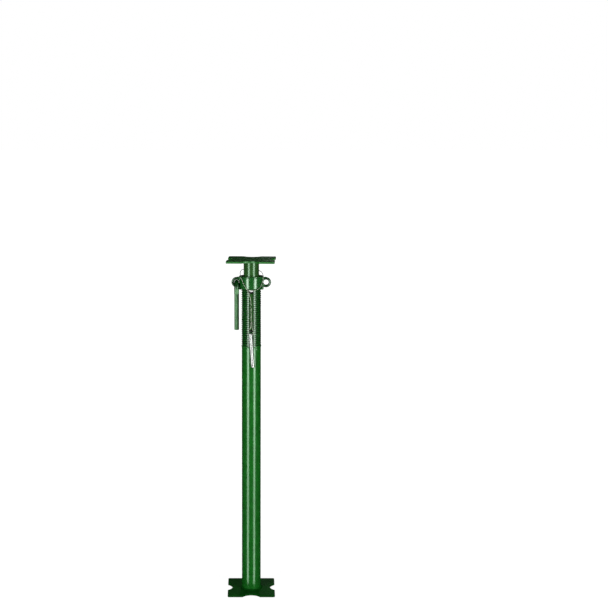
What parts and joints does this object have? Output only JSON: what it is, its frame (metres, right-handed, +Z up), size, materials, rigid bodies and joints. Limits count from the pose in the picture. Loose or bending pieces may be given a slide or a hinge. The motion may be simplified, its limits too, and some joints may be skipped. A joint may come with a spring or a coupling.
{
  "type": "adjustable steel prop",
  "caption": "Telescoping steel shoring prop with square end plates, slotted threaded sleeve, collar nut with hooked turning handle, and a locking pin on a wire lanyard.",
  "frame": {"origin": "centre of the base plate's underside, on the tubes' axis", "axes": "+Z up along the tubes, the pin hangs on the -Y side and the handle in the eye on -X"},
  "size_m": [0.1572, 0.1572, 1.07],
  "materials": {
    "green_paint": "glossy dark green enamel on steel",
    "nut_paint": "glossy dark green enamel on cast iron",
    "handle_paint": "green enamel on round bar",
    "zinc_pin": "bright zinc plate",
    "steel_wire": "galvanised steel wire"
  },
  "bodies": {
    "lower": {"base_plate": "green_paint", "base_weld": "green_paint", "outer_tube": "green_paint", "seam_weld": "green_paint", "plug_weld": "green_paint", "threaded_sleeve": "green_paint"},
    "upper": {"inner_tube": "green_paint", "head_weld": "green_paint", "head_plate": "green_paint"},
    "noose": {"lanyard_noose": "steel_wire"},
    "nut": {"collar_nut": "nut_paint"},
    "handle": {"nut_handle": "handle_paint"},
    "lanyard": {"lanyard_tail": "steel_wire", "lanyard_ferrule": "steel_wire"},
    "pin": {"locking_pin": "zinc_pin"}
  },
  "joints": [
    {"name": "inner_slide", "type": "slide", "parent": "lower", "child": "upper", "axis": [0, 0, 1], "range_m": [0, 0.75]},
    {"name": "nut_travel", "type": "slide", "parent": "lower", "child": "noose", "axis": [0, 0, 1], "range_m": [-0.1755, 0]},
    {"name": "nut_turn", "type": "hinge", "parent": "noose", "child": "nut", "pos_m": [0, 0, 0.9965], "axis": [0, 0, 1], "range_deg": [-9720, 0], "deforming": ["lanyard_noose"]},
    {"name": "handle_swing", "type": "hinge", "parent": "nut", "child": "handle", "pos_m": [-0.046, 0, 0.9975], "axis": [0, 1, 0], "range_deg": [-3, 140]},
    {"name": "lanyard_swing", "type": "hinge", "parent": "noose", "child": "lanyard", "pos_m": [-0.0092, -0.03795, 0.9714], "axis": [-1, 0, 0], "range_deg": [0, 75]},
    {"name": "pin_swing", "type": "hinge", "parent": "lanyard", "child": "pin", "pos_m": [-0.0025, -0.03795, 0.8364], "axis": [-0.9974, 0, -0.0715], "range_deg": [0, 120]}
  ],
  "couplings": [
    {"joint": "nut_travel", "follows": "nut_turn", "m_per_rad": 0.0010345}
  ]
}
